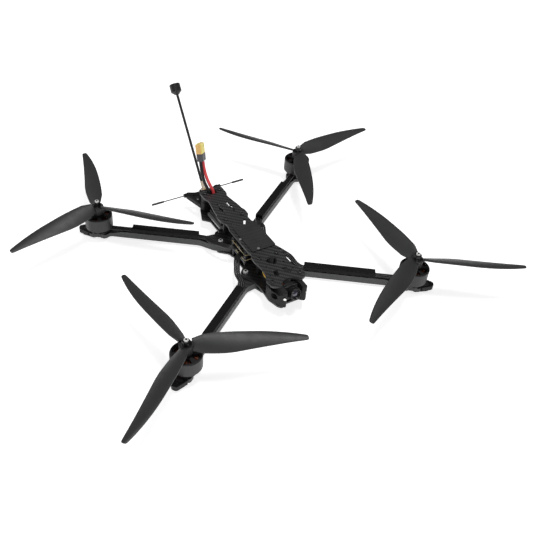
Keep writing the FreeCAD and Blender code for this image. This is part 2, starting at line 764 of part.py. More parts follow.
def antenna_connector():
    body = rod_between(3.25, antenna_axis(-2.0), antenna_axis(9.0))
    flange = rod_between(4.4, antenna_axis(7.05), antenna_axis(8.4))
    bore = rod_between(1.0, antenna_axis(2.0), antenna_axis(10.0))
    return fuse([body, flange]).cut(bore)


def antenna_stalk():
    """Flexible stem: a pale sleeve at its foot and a thin jacket up to the cap."""
    foot = rod_between(3.6, antenna_axis(9.05), antenna_axis(11.5))
    sleeve = rod_between(2.0, antenna_axis(11.0), antenna_axis(21.5))
    stem = rod_between(1.75, antenna_axis(21.0), antenna_axis(140.0))
    return fuse([foot, sleeve, stem])


def antenna_cap():
    """Mushroom cap over the radiating element, with a conical underside."""
    start = antenna_axis(140.05)
    lean = antenna_axis(1.0) - antenna_axis(0.0)
    cone = Part.makeCone(2.4, 7.3, 4.2, start, lean)
    drum = rod_between(7.3, start + lean * 4.2, start + lean * 15.0)
    crown = [edge for edge in drum.Edges
             if len(edge.Vertexes) == 1 and (edge.CenterOfMass - start).Length > 12]
    return fuse([cone, drum.makeFillet(1.6, crown)])


# ---- power leads --------------------------------------------------------------
def power_lead(points, name):
    """One power lead from the terminal block up to the connector."""
    return route([Vector(x, y, z) for x, y, z in points], lead_radius, name)


def along_plug(shape):
    """Turn a shape made upright at the origin onto the end of the leads."""
    shape = shape.copy()
    shape.rotate(ORIGIN, UP, plug_turn)
    return shape.transformGeometry(FreeCAD.Placement(plug_foot, FreeCAD.Rotation(UP, plug_run)).toMatrix())


def connector_sheath():
    """Grey hood over the solder cups; the leads butt against its floor."""
    return along_plug(rounded_block(-7.6, 7.6, -4.2, 4.2, 0.02, 10.0, 2.0))


def power_connector():
    """Two-pole battery plug: a chamfered housing with two round sockets."""
    plan = [(-7.9, -4.05, 0.8), (5.4, -4.05, 0.8), (7.9, -1.8, 0.8), (7.9, 1.8, 0.8),
            (5.4, 4.05, 0.8), (-7.9, 4.05, 0.8)]
    body = slab(plan, 10.02, 22.5)
    mouths = [rod(2.3, x, 0, 14.0, 23.5) for x in (-3.7, 3.7)]
    return along_plug(cut(body, mouths))


def pad_screw_places():
    """One screw through the mat, one on the bare plate beside it."""
    return [(-3.6, -24.2), (-15.3, 0.4)]


def battery_pad():
    """Grippy mat on the top plate under the battery, set to the drone's left."""
    mat = rounded_block(-13.4, 19.2, -27.0, 23.5, top_z, top_z + pad_thickness, 2.0)
    return cut(mat, [rod(small_head_radius + 0.2, x, y, top_z - 1, top_z + 3) for x, y in pad_screw_places()])


def small_screw(seat, way, grip):
    """Cheese-head screw seated at a point, its head towards way."""
    head = rod_between(small_head_radius, seat, seat + way * 0.95)
    shank = rod_between(small_screw_radius, seat - way * grip, seat + way * 0.1)
    return fuse([head, shank])


def small_screws():
    """Two screws in the top plate and one in the slanted front of each camera guard."""
    shapes = [small_screw(Vector(x, y, top_z), UP, 4.0) for x, y in pad_screw_places()]
    front = small_screw(guard_screw_seat(), guard_screw_way, 5.0)
    return group(shapes + [front, front.mirror(ORIGIN, Vector(1, 0, 0))])


# ---- motors --------------------------------------------------------------------
def motor_screw_places():
    pitch = 9.5
    return [(pitch * math.cos(math.radians(45 + 90 * step)), pitch * math.sin(math.radians(45 + 90 * step)))
            for step in range(4)]


def motor_base():
    """Round mount with four feet, a wire exit and the tube that carries the bearings."""
    low = motor_seat_z
    disc = rod(12.8, 0, 0, low, low + 2.6)
    bites = []
    for step in range(4):
        turn = math.radians(90 * step)
        bites.append(rod(3.2, 11.4 * math.cos(turn), 11.4 * math.sin(turn), low - 1, low + 4))
    drum = rod(9.2, 0, 0, low + 2.5, bell_bottom - 0.9)
    tower = rod(4.6, 0, 0, low, bell_top - 3.3)
    exit_block = block(-wire_start, -6.0, -4.1, 4.1, low, wire_z + wire_radius + 0.4)
    shape = fuse([cut(disc, bites), drum, tower, exit_block])
    shape = shape.cut(rod(shaft_radius + rotor_gap, 0, 0, low - 1, bell_top))
    return drill(shape, motor_screw_places(), screw_hole_radius, low, low + 2.6)


def stator():
    """Twelve-tooth laminated core pressed on the base's tower."""
    ring = tube(14.9, 4.65, 0, 0, stator_low, stator_high)
    low, high = stator_low - 1, stator_high + 1
    slots = []
    for step in range(12):
        wedge = slab([(7.6, -1.05, 0.3), (13.3, -2.55, 0.3), (13.3, 2.55, 0.3), (7.6, 1.05, 0.3)],
                     low, high)
        mouth = block(12.5, 16.0, -0.6, 0.6, low, high)
        for tool in (wedge, mouth):
            tool.rotate(ORIGIN, UP, 30 * step + 15)
            slots.append(tool)
    return cut(ring, slots)


def windings():
    """Copper coils, one round each tooth."""
    coils = []
    for step in range(12):
        coil = rounded_block(8.2, 12.9, -1.9, 1.9, stator_low - 1, stator_high + 1, 0.9)
        tooth = block(7.0, 14.0, -1.2, 1.2, stator_low - 0.1, stator_high + 0.1)
        coil = coil.cut(tooth)
        coil.rotate(ORIGIN, UP, 30 * step)
        coils.append(coil)
    return group(coils)


def motor_screws():
    shapes = []
    for x, y in motor_screw_places():
        head = rod(screw_head_radius, x, y, arm_z - screw_head_height, arm_z)
        shapes.append(fuse([head, rod(screw_radius, x, y, arm_z - 0.1, motor_seat_z + 2.4)]))
    return group(shapes)


def bell():
    """Outer rotor can with a spoked top and the seat for the propeller."""
    can = tube(bell_radius, bell_radius - bell_wall, 0, 0, bell_bottom, bell_top)
    cap = rod(bell_radius - bell_wall + 0.2, 0, 0, bell_top - 2.7, bell_top)
    seat = rod(6.6, 0, 0, bell_top - 3.0, hub_seat)
    body = fuse([can, cap, seat])
    outer = [edge for edge in body.Edges
             if len(edge.Vertexes) == 1 and abs(edge.CenterOfMass.z - bell_top) < 0.01
             and edge.Curve.Radius > bell_radius - 0.5]
    body = body.makeChamfer(0.8, outer)
    tools = []
    for step in range(6):
        window = slab([(8.0, -2.2, 0.8), (14.4, -5.2, 0.8), (15.0, 0.0, 2.0), (14.4, 5.2, 0.8),
                       (8.0, 2.2, 0.8)], bell_top - 4, bell_top + 1)
        window.rotate(ORIGIN, UP, 60 * step + 30)
        tools.append(window)
    tools.append(rod(shaft_radius, 0, 0, bell_bottom, hub_seat + 1))
    return cut(body, tools)


def shaft():
    stem = rod(shaft_radius, 0, 0, motor_seat_z + 1.0, shaft_top)
    ends = [edge for edge in stem.Edges if len(edge.Vertexes) == 1]
    stem = stem.makeChamfer(0.4, ends)
    return stem.cut(rod(1.2, 0, 0, shaft_top - 3.5, shaft_top + 1))


def propeller_nut():
    low = hub_seat + hub_height
    flange = Part.makeCone(5.6, 4.8, 1.4, Vector(0, 0, low), UP)
    body = fuse([flange, hexagon(8.0, 0, 0, low + 1.0, nut_top)])
    limit = Part.makeCone(10.0, 3.6, 6.4, Vector(0, 0, nut_top - 6.2), UP)
    return body.common(fuse([limit, rod(10, 0, 0, low - 1, nut_top - 6.0)])).cut(
        rod(shaft_radius, 0, 0, low - 1, nut_top + 1))


def blade_stations():
    """Blade stations from root to tip on smooth curves through the main ones, closer near the round tip."""
    shares = [1.0 - math.sqrt(1.0 - row[0] / propeller_radius) for row in BLADE_STATIONS]
    outline = Part.BSplineCurve()
    outline.interpolate(Points=[Vector(*row[1:]) for row in BLADE_STATIONS], Parameters=shares)
    stations = []
    for step in range(blade_steps + 1):
        share = shares[0] + (1.0 - shares[0]) * step / blade_steps
        lead, trail, pitch = outline.value(share)
        stations.append((propeller_radius * (1.0 - (1.0 - share) ** 2), lead, trail, pitch))
    return stations


def blade_section(station):
    """Closed aerofoil wire at one blade station, thickest near the leading edge."""
    radius, lead, trail, pitch = station
    slope = math.tan(math.radians(pitch))
    middle = (lead - trail) / 2
    reach = lead + trail
    thick = 1.2 + 2.2 * (1.0 - radius / propeller_radius) ** 1.5
    upper, lower = [], []
    for part in CHORD_PARTS:
        y = lead - reach * part
        z = blade_z + (y - middle) * slope + 0.05 * reach * math.sin(math.pi * part)
        half = 0.5 * thick * (0.5 + 1.1 * math.sqrt(part) * (1 - part) ** 0.75)
        upper.append(Vector(radius, y, z + half))
        lower.append(Vector(radius, y, z - half))
    top, under = Part.BSplineCurve(), Part.BSplineCurve()
    top.interpolate(Points=upper, Parameters=CHORD_PARTS)
    under.interpolate(Points=lower[::-1], Parameters=[1.0 - part for part in reversed(CHORD_PARTS)])
    back = Part.LineSegment(upper[-1], lower[-1])
    front = Part.LineSegment(lower[0], upper[0])
    return Part.Wire([top.toShape(), back.toShape(), under.toShape(), front.toShape()])


def propeller(anticlockwise):
    """Three twisted blades on a round hub, leading edges high."""
    blade = Part.makeLoft([blade_section(station) for station in blade_stations()], True, True)
    hub = rod(hub_radius, 0, 0, hub_seat, hub_seat + hub_height)
    rims = [edge for edge in hub.Edges if len(edge.Vertexes) == 1]
    hub = hub.makeFillet(0.7, rims)
    blades = []
    for step in range(3):
        turned = blade.copy()
        turned.rotate(ORIGIN, UP, 120 * step)
        blades.append(turned)
    body = hub.fuse(blades)
    body = body.cut(rod(shaft_radius, 0, 0, hub_seat - 5, hub_seat + hub_height + 5))
    if not anticlockwise:
        body = body.mirror(ORIGIN, Vector(0, 1, 0))
    return body


def motor_wires(signs):
    """Three phase wires: motor foot, through the arm's cover, then across to the speed controller."""
    shapes = []
    for strand in (-1, 0, 1):
        across = wire_pitch * strand
        pad_y = 6.0 + 3.2 * strand
        points = [
            arm_point(-wire_start, across, wire_z),
            arm_point(-cover_start - 3.6, across, wire_z),
            Vector(38.0 - 0.85 * across, 45.6 + 0.45 * across, deck_z + 1.4),
            Vector(37.5 - 0.95 * across, 33.5 + 0.3 * across, deck_z + 3.9),
            Vector(25.5 - 0.85 * across, 11.0 + 0.5 * across, deck_z + 8.0),
            Vector(15.0, pad_y, esc_z + board_thickness + wire_radius + 0.05),
        ]
        shapes.append(to_quadrant(route(points, wire_radius), signs))
    return group(shapes)


# ---- assembly ---------------------------------------------------------------------
def at_motor(shape, signs, turn=0.0):
    shape = shape.copy()
    shape.rotate(ORIGIN, UP, turn)
    shape.translate(Vector(signs[0] * motor_x, signs[1] * motor_y, 0))
    return shape


def build():
    os.makedirs("parts", exist_ok=True)
    save("bottom_plate", bottom_plate())
    save("mid_plate", mid_plate())
    save("top_plate", top_plate())
    save("arm_bolts", arm_bolts())
    save("standoffs", standoffs())
    save("plate_screws", plate_screws())
    save("esc_board", esc_board())
    save("flight_controller", flight_controller())
    save("stack_grommets", stack_grommets())
    save("stack_bolts", stack_bolts())
    save("video_transmitter", video_transmitter())
    save("receiver_module", receiver_module())
    save("capacitor", capacitor())
    save("camera_guards", group([camera_guard(-1), camera_guard(1)]))
    save("camera_case", camera_case())
    save("camera_lens", camera_lens())
    save("camera_glass", camera_glass())
    save("camera_screws", camera_screws())
    save("camera_cable", camera_cable())
    save("rear_mount", rear_mount())
    save("link_antenna", link_antenna())
    save("antenna_connector", antenna_connector())
    save("antenna_stalk", antenna_stalk())
    save("antenna_cap", antenna_cap())
    save("power_lead_red", power_lead(RED_ROUTE, "power_lead_red"))
    save("power_lead_black", power_lead(BLACK_ROUTE, "power_lead_black"))
    save("connector_sheath", connector_sheath())
    save("power_connector", power_connector())
    save("battery_pad", battery_pad())
    save("small_screws", small_screws())

    pads, bases, cores, coils, screws, wires = [], [], [], [], [], []
    propellers = {turning: propeller(turning) for turning in (True, False)}
    for name, signs in ARMS.items():
        turn, anticlockwise = ROTORS[name]
        save("arm_" + name, to_quadrant(arm(signs[1] > 0), signs))
        save("wire_cover_" + name, to_quadrant(wire_cover(), signs))
        save("motor_bell_" + name, at_motor(bell(), signs, turn))
        save("motor_shaft_" + name, at_motor(shaft(), signs))
        save("propeller_" + name, at_motor(propellers[anticlockwise], signs, turn))
        save("propeller_nut_" + name, at_motor(propeller_nut(), signs, turn))
        pads.append(to_quadrant(foot_pad(), signs))
        bases.append(to_quadrant(on_arm(motor_base()), signs))
        cores.append(at_motor(stator(), signs))
        coils.append(at_motor(windings(), signs))
        screws.append(to_quadrant(on_arm(motor_screws()), signs))
        wires.append(motor_wires(signs))
    save("foot_pads", group(pads))
    save("motor_bases", group(bases))
    save("stator_cores", group(cores))
    save("stator_windings", group(coils))
    save("motor_screws", group(screws))
    save("motor_wires", group(wires))


build()
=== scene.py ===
import math
import bpy
from mathutils import Matrix, Vector


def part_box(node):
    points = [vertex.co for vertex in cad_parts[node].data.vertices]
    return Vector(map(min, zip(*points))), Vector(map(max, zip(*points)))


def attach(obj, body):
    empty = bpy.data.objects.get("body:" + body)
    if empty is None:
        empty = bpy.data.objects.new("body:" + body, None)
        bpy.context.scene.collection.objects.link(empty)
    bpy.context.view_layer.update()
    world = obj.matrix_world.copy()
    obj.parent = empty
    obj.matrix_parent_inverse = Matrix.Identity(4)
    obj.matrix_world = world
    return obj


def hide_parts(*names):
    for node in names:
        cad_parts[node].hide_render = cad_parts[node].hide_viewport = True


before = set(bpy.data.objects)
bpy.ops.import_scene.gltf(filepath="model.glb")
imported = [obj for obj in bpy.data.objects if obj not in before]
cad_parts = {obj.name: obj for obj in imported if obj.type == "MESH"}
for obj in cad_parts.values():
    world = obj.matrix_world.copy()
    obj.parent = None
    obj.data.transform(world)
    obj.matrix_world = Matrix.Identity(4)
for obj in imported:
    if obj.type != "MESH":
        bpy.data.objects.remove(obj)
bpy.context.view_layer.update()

ARMS = ("front_right", "front_left", "rear_right", "rear_left")
MM = 0.001
SHAFT_LOW, SHAFT_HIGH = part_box("motor_shaft_front_left")
ROTOR_X = abs(SHAFT_LOW[0] + SHAFT_HIGH[0]) / 2
ROTOR_Y = abs(SHAFT_LOW[1] + SHAFT_HIGH[1]) / 2
BELL_LOW, BELL_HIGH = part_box("motor_bell_front_left")
BELL_RADIUS = (BELL_HIGH[0] - BELL_LOW[0]) / 2
HUB_RADIUS = 7.6 * MM
ARM_BOLT = (24.8 * MM, 32.4 * MM)
# course of the camera cable's middle wire as (y, x) in mm, and the width that its x values span
CABLE_SWING = 20.0
CABLE_COURSE = ((-80.0, 0.0), (-70.5, -5.0), (-62.3, -11.9), (-52.0, -12.0), (-40.5, -5.4), (-28.5, -1.2),
                (-18.4, 0.0))


# ---- camera -----------------------------------------------------------------
CAMERA_AZIMUTH = 29.38
CAMERA_DROP = 41.39
CAMERA_ROLL = 2.20
CAMERA_LENS = 45.6
CAMERA_SHIFT = (0.082, -0.0107)
CAMERA_PLACE = (-0.3454, -0.5447, 0.5641)


def make_camera():
    """Camera above the nose on the drone's right, looking down across it."""
    azimuth = math.radians(CAMERA_AZIMUTH)
    drop = math.radians(CAMERA_DROP)
    roll = math.radians(CAMERA_ROLL)
    forward = Vector((math.sin(azimuth) * math.cos(drop), math.cos(azimuth) * math.cos(drop),
                      -math.sin(drop)))
    right = forward.cross(Vector((0, 0, 1))).normalized()
    up = right.cross(forward)
    tilted_right = right * math.cos(roll) + up * math.sin(roll)
    tilted_up = tilted_right.cross(forward)
    data = bpy.data.cameras.new("camera")
    data.sensor_width = 36.0
    data.lens = CAMERA_LENS
    data.shift_x, data.shift_y = CAMERA_SHIFT
    data.clip_start = 0.01
    data.clip_end = 50.0
    camera = bpy.data.objects.new("camera", data)
    bpy.context.scene.collection.objects.link(camera)
    turn = Matrix((tilted_right, tilted_up, -forward)).transposed()
    camera.matrix_world = Matrix.Translation(CAMERA_PLACE) @ turn.to_4x4()
    bpy.context.scene.camera = camera


make_camera()


# ---- power leads ------------------------------------------------------------
LEAD_RADIUS = 2.1
LEAD_FOOT_Z = 20.4
RED_ROUTE = (
    (2.9, 103.6, LEAD_FOOT_Z), (2.9, 103.6, 36.4), (-2.8, 110.8, 49.6), (-3.4, 123.3, 63.4),
    (-2.8, 127.7, 75.1),
)
BLACK_ROUTE = (
    (-2.6, 104.6, LEAD_FOOT_Z), (-2.6, 104.6, 36.4), (-8.0, 112.6, 49.3), (-7.8, 121.7, 64.2),
    (-7.2, 126.1, 75.9),
)


def make_lead(name, points, node):
    """A lead along the same points as the part's, in metres; its thickness is carried by the points."""
    curve = bpy.data.curves.new(name, "CURVE")
    curve.dimensions = "3D"
    curve.resolution_u = 24
    curve.bevel_depth = 1.0
    curve.bevel_resolution = 8
    curve.use_fill_caps = True
    spline = curve.splines.new("NURBS")
    spline.points.add(len(points) - 1)
    for point, (x, y, z) in zip(spline.points, points):
        point.co = (x * MM, y * MM, z * MM, 1.0)
        point.radius = LEAD_RADIUS * MM
    spline.order_u = 3
    spline.use_endpoint_u = True
    lead = bpy.data.objects.new(name, curve)
    bpy.context.scene.collection.objects.link(lead)
    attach(lead, "airframe")
    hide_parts(node)
    return lead


red_lead = make_lead("lead_red_cord", RED_ROUTE, "power_lead_red")
black_lead = make_lead("lead_black_cord", BLACK_ROUTE, "power_lead_black")


# ---- material helpers ---------------------------------------------------------
class Paint:
    """One procedural material built up node by node."""

    def __init__(self, name, rough=0.5, metal=0.0, specular=0.5):
        self.mat = bpy.data.materials.new(name)
        self.mat.use_nodes = True
        self.tree = self.mat.node_tree
        self.tree.nodes.clear()
        self.out = self.node("ShaderNodeOutputMaterial")
        self.bsdf = self.node("ShaderNodeBsdfPrincipled")
        self.bsdf.inputs["Roughness"].default_value = rough
        self.bsdf.inputs["Metallic"].default_value = metal
        self.bsdf.inputs["Specular IOR Level"].default_value = specular
        self.link(self.bsdf.outputs[0], self.out.inputs[0])
        coordinates = self.node("ShaderNodeTexCoord")
        self.place = coordinates.outputs["Object"]
        self.normal = self.node("ShaderNodeNewGeometry").outputs["Normal"]
        self.bumped = None

    def node(self, kind):
        return self.tree.nodes.new(kind)

    def link(self, a, b):
        self.tree.links.new(a, b)

    def feed(self, socket, value):
        if hasattr(value, "is_output"):
            self.link(value, socket)
        else:
            socket.default_value = value

    def math(self, operation, a, b=0.0, c=0.0):
        node = self.node("ShaderNodeMath")
        node.operation = operation
        for index, value in enumerate((a, b, c)):
            self.feed(node.inputs[index], value)
        return node.outputs[0]

    def axes(self, vector=None):
        split = self.node("ShaderNodeSeparateXYZ")
        self.link(vector if vector is not None else self.place, split.inputs[0])
        return split.outputs[0], split.outputs[1], split.outputs[2]

    def noise(self, per_metre, detail=3.0, rough=0.55, stretch=None):
        where = self.place
        if stretch is not None:
            mapping = self.node("ShaderNodeMapping")
            self.link(self.place, mapping.inputs["Vector"])
            mapping.inputs["Scale"].default_value = stretch
            where = mapping.outputs[0]
        node = self.node("ShaderNodeTexNoise")
        self.link(where, node.inputs["Vector"])
        node.inputs["Scale"].default_value = per_metre
        node.inputs["Detail"].default_value = detail
        node.inputs["Roughness"].default_value = rough
        return node.outputs["Fac"]

    def cells(self, per_metre):
        node = self.node("ShaderNodeTexVoronoi")
        self.link(self.place, node.inputs["Vector"])
        node.inputs["Scale"].default_value = per_metre
        return node.outputs["Distance"]

    def band(self, value, low, high, out_low=0.0, out_high=1.0):
        node = self.node("ShaderNodeMapRange")
        self.feed(node.inputs["Value"], value)
        node.inputs["From Min"].default_value = low
        node.inputs["From Max"].default_value = high
        node.inputs["To Min"].default_value = out_low
        node.inputs["To Max"].default_value = out_high
        return node.outputs["Result"]

    def mix(self, share, a, b):
        node = self.node("ShaderNodeMix")
        node.data_type = "RGBA"
        self.feed(node.inputs[0], share)
        self.feed(node.inputs[6], a if hasattr(a, "is_output") else tuple(a) + (1.0,))
        self.feed(node.inputs[7], b if hasattr(b, "is_output") else tuple(b) + (1.0,))
        return node.outputs[2]

    def colour(self, value):
        self.feed(self.bsdf.inputs["Base Color"], value)

    def rough(self, value):
        self.feed(self.bsdf.inputs["Roughness"], value)

    def bump(self, height, strength, distance):
        node = self.node("ShaderNodeBump")
        self.link(height, node.inputs["Height"])
        node.inputs["Strength"].default_value = strength
        node.inputs["Distance"].default_value = distance
        if self.bumped is not None:
            self.link(self.bumped, node.inputs["Normal"])
        self.bumped = node.outputs[0]
        self.link(self.bumped, self.bsdf.inputs["Normal"])

    def facing_up(self):
        """1 where the surface looks up or down, 0 on its sides."""
        return self.band(self.math("ABSOLUTE", self.axes(self.normal)[2]), 0.55, 0.75)


def scaled(colour, share):
    return tuple(min(1.0, channel * share) for channel in colour)


def moulded(name, colour, rough=0.5, vary=0.22, grain=2600.0, wear=0.25, metal=0.0, specular=0.5,
            bump=0.25, depth=0.00006):
    """Plain moulded or painted surface: cloudy tone, fine grain and worn sheen."""
    paint = Paint(name, rough, metal, specular)
    cloud = paint.noise(38.0, 4.0)
    fine = paint.noise(grain, 2.0)
    tone = paint.math("MULTIPLY_ADD", fine, 0.5, paint.math("MULTIPLY", cloud, 0.5))
    paint.colour(paint.mix(tone, scaled(colour, 1.0 - vary), scaled(colour, 1.0 + vary)))
    scuff = paint.noise(240.0, 6.0, 0.7)
    paint.rough(paint.band(scuff, 0.25, 0.75, rough - wear * 0.4, rough + wear * 0.4))
    paint.bump(fine, bump, depth)
    return paint


def twill(name, dark, light, pitch_mm=1.9, rough=0.33):
    """Two-by-two twill carbon laminate: woven tows on the faces, fine plies on the cut edges; the edges
    are painted lighter than the faces, their own paler sawn plies plus a painted reflection of the bright
    floor.
    """
    paint = Paint(name, rough, 0.0, 0.5)
    x, y = paint.axes()[:2]
    per = 1.0 / (pitch_mm * MM)
    tow_u = paint.math("MULTIPLY", x, per)
    tow_v = paint.math("MULTIPLY", y, per)
    column = paint.math("FLOOR", tow_u)
    row = paint.math("FLOOR", tow_v)
    step = paint.math("FLOORED_MODULO", paint.math("ADD", column, row), 4.0)
    over = paint.math("LESS_THAN", step, 1.5)
    along_u = paint.math("FRACT", tow_u)
    along_v = paint.math("FRACT", tow_v)
    arch_u = paint.math("SINE", paint.math("MULTIPLY", along_u, math.pi))
    arch_v = paint.math("SINE", paint.math("MULTIPLY", along_v, math.pi))
    height = paint.math("ADD", paint.math("MULTIPLY", over, arch_u),
                        paint.math("MULTIPLY", paint.math("SUBTRACT", 1.0, over), arch_v))
    strands = paint.noise(5200.0, 2.0, 0.5, (1.0, 1.0, 0.2))
    share = paint.math("MULTIPLY", over, paint.band(height, 0.0, 1.0, 0.35, 1.0))
    share = paint.math("MULTIPLY", share, paint.band(strands, 0.2, 0.8, 0.6, 1.1))
    share = paint.math("MULTIPLY", share, paint.band(paint.noise(30.0, 3.0), 0.2, 0.8, 0.55, 1.25))
    face = paint.mix(share, dark, light)
    plies = paint.noise(900.0, 2.0, 0.5, (0.15, 0.15, 5.0))
    # cut edges: paler sawn plies, painted lighter still as painted reflection of the bright floor
    edge_plies_and_reflection = paint.mix(plies, scaled(light, 0.62), scaled(light, 1.05))
    up = paint.facing_up()
    paint.colour(paint.mix(up, edge_plies_and_reflection, face))
    worn = paint.band(paint.noise(160.0, 5.0, 0.7), 0.2, 0.8, rough - 0.06, rough + 0.12)
    sawn = paint.math("MULTIPLY", paint.math("SUBTRACT", 1.0, up), 0.22)
    paint.rough(paint.math("ADD", worn, sawn))
    paint.bump(paint.math("MULTIPLY", height, up), 0.35, 0.00008)
    paint.bsdf.inputs["Coat Weight"].default_value = 0.25
    paint.bsdf.inputs["Coat Roughness"].default_value = 0.28
    return paint


def printed(name, colour, rough=0.62, layer_mm=0.22, vary=0.28, specular=0.4):
    """Printed part: fine horizontal layer lines over a slightly uneven colour."""
    paint = Paint(name, rough, 0.0, specular)
    x, y, z = paint.axes()
    wave = paint.math("SINE", paint.math("MULTIPLY", z, 2 * math.pi / (layer_mm * MM)))
    drift = paint.noise(120.0, 4.0)
    side = paint.math("SUBTRACT", 1.0, paint.facing_up())
    lines = paint.math("MULTIPLY", wave, side)
    sweep = paint.math("SINE", paint.math("MULTIPLY", paint.math("ADD", x, y), 2 * math.pi / (0.45 * MM)))
    lines = paint.math("ADD", lines, paint.math("MULTIPLY", sweep, paint.math("SUBTRACT", 1.0, side)))
    tone = paint.math("ADD", paint.math("MULTIPLY", drift, 0.8), paint.math("MULTIPLY", lines, 0.12))
    paint.colour(paint.mix(tone, scaled(colour, 1.0 - vary), scaled(colour, 1.0 + vary)))
    paint.rough(paint.band(drift, 0.2, 0.8, rough - 0.08, rough + 0.12))
    paint.bump(lines, 0.3, 0.00006)
    paint.bump(paint.noise(1800.0, 3.0), 0.2, 0.00006)
    return paint


def turned_metal(name, colour, rough=0.32, metal=1.0, lines=0.25, vary=0.12):
    """Metal with fine circular tool marks that run round the vertical axis."""
    paint = Paint(name, rough, metal, 0.5)
    grooves = paint.noise(90.0, 3.0, 0.6, (0.6, 0.6, 60.0))
    cloud = paint.noise(70.0, 4.0)
    tone = paint.math("ADD", paint.math("MULTIPLY", grooves, 0.6), paint.math("MULTIPLY", cloud, 0.4))
    paint.colour(paint.mix(tone, scaled(colour, 1.0 - vary), scaled(colour, 1.0 + vary)))
    paint.rough(paint.band(paint.noise(300.0, 5.0, 0.7), 0.2, 0.8, rough - 0.08, rough + 0.12))
    paint.bump(grooves, lines, 0.00004)
    return paint


def circuit(name, board, chip, gold, board_tops):
    """Circuit board: mask with traces and gold pads on each board's face, dark chips above it."""
    paint = Paint(name, 0.35, 0.0, 0.5)
    z = paint.axes()[2]
    traces = paint.band(paint.cells(420.0), 0.10, 0.16)
    face = paint.mix(traces, scaled(board, 1.7), board)
    pads = paint.band(paint.cells(260.0), 0.20, 0.16)
    face = paint.mix(pads, face, gold)
    marks = paint.band(paint.cells(610.0), 0.20, 0.16)
    face = paint.mix(marks, face, scaled(gold, 1.25))
    side = paint.mix(paint.noise(700.0, 2.0), scaled(gold, 0.35), scaled(gold, 0.6))
    face = paint.mix(paint.facing_up(), side, face)
    above = None
    for top in board_tops:
        in_chip = paint.math("MULTIPLY", paint.math("GREATER_THAN", z, (top + 0.15) * MM),
                             paint.math("LESS_THAN", z, (top + 4.0) * MM))
        above = in_chip if above is None else paint.math("MAXIMUM", above, in_chip)
    body = paint.mix(paint.noise(1500.0, 2.0), scaled(chip, 0.8), scaled(chip, 1.3))
    paint.colour(paint.mix(above, face, body))
    paint.rough(paint.band(paint.noise(500.0, 3.0), 0.2, 0.8, 0.28, 0.45))
    paint.bump(traces, 0.2, 0.00005)
    return paint


def flanged_sink():
    """Heat sink: pale bare flange at its foot; the fins above are painted near-black as painted shade
    under the top plate.
    """
    paint = Paint("heat_sink", 0.40, 0.3, 0.5)
    z = paint.axes()[2]
    fine = paint.noise(500.0, 4.0)
    flange = paint.mix(fine, (0.30, 0.30, 0.31), (0.42, 0.42, 0.43))
    # painted shade: the case above the flange is painted near-black for the shadow under the top plate
    case = paint.mix(fine, (0.008, 0.008, 0.009), (0.018, 0.018, 0.020))
    paint.colour(paint.mix(paint.math("GREATER_THAN", z, 19.1 * MM), flange, case))
    paint.rough(paint.band(paint.noise(260.0, 4.0), 0.2, 0.8, 0.32, 0.50))
    paint.bump(fine, 0.15, 0.00004)
    return paint


def ribbed_mat():
    """Rubber mat with slanting ribs, their crests painted lighter in cloudy patches as painted
    highlights.
    """
    paint = Paint("battery_pad", 0.55, 0.0, 0.45)
    x, y = paint.axes()[:2]
    slant = paint.math("MULTIPLY", paint.math("MULTIPLY_ADD", x, 0.75, y), 2 * math.pi / (3.4 * MM))
    ribs = paint.band(paint.math("SINE", slant), -0.35, 0.35)
    cloud = paint.noise(70.0, 4.0)
    # painted highlights: the rib crests are painted lighter, more so in cloudy patches
    tone = paint.math("MULTIPLY", ribs, paint.band(cloud, 0.3, 0.7, 0.35, 1.0))
    paint.colour(paint.mix(tone, (0.0075, 0.0075, 0.008), (0.036, 0.036, 0.037)))
    paint.rough(paint.band(cloud, 0.2, 0.8, 0.40, 0.62))
    paint.bump(ribs, 0.5, 0.00018)
    paint.bump(paint.noise(2400.0, 3.0), 0.25, 0.00005)
    return paint


def off_axis(paint, axis_x=ROTOR_X, axis_y=ROTOR_Y):
    """Distance from the nearest of four upright axes, the rotors' unless others are given, in metres."""
    x, y = paint.axes()[:2]
    across = paint.math("SUBTRACT", paint.math("ABSOLUTE", x), axis_x)
    along = paint.math("SUBTRACT", paint.math("ABSOLUTE", y), axis_y)
    square = paint.math("MULTIPLY_ADD", across, across, paint.math("MULTIPLY", along, along))
    return paint.math("SQRT", square)


def blade_paint():
    """Matte glass-filled plastic with faint flow marks and a fine moulded grain."""
    colour = (0.027, 0.0272, 0.0284)
    paint = Paint("propeller", 0.42, 0.0, 0.45)
    cloud = paint.noise(22.0, 5.0, 0.6)
    fine = paint.noise(1400.0, 3.0, 0.6)
    tone = paint.math("ADD", paint.math("MULTIPLY", cloud, 0.55), paint.math("MULTIPLY", fine, 0.45))
    blade = paint.mix(tone, scaled(colour, 0.80), scaled(colour, 1.22))
    # painted shade: the hub, moulded in the same plastic as the blades, is painted darker
    hub_shade = paint.mix(tone, scaled(colour, 0.30), scaled(colour, 0.48))
    paint.colour(paint.mix(paint.band(off_axis(paint), HUB_RADIUS, HUB_RADIUS * 1.35), hub_shade, blade))
    paint.rough(paint.band(paint.noise(90.0, 5.0, 0.7), 0.2, 0.8, 0.38, 0.54))
    paint.bump(fine, 0.25, 0.00006)
    return paint


def bell_paint():
    """Anodised can: satin wall with turning lines; the spoked top, the same anodised metal, is painted
    darker as painted shade.
    """
    paint = Paint("motor_bell", 0.40, 0.30, 0.5)
    grooves = paint.noise(90.0, 3.0, 0.6, (0.6, 0.6, 60.0))
    wall = paint.mix(grooves, (0.026, 0.026, 0.028), (0.036, 0.036, 0.038))
    # painted shade: the spoked top is painted near-black
    top = paint.mix(paint.noise(70.0, 4.0), (0.006, 0.006, 0.0065), (0.013, 0.013, 0.014))
    shaded_top_mask = paint.math("LESS_THAN", off_axis(paint), BELL_RADIUS - 1.0 * MM)
    paint.colour(paint.mix(shaded_top_mask, wall, top))
    paint.rough(paint.band(paint.noise(300.0, 5.0, 0.7), 0.2, 0.8, 0.32, 0.52))
    paint.bump(grooves, 0.25, 0.00004)
    return paint


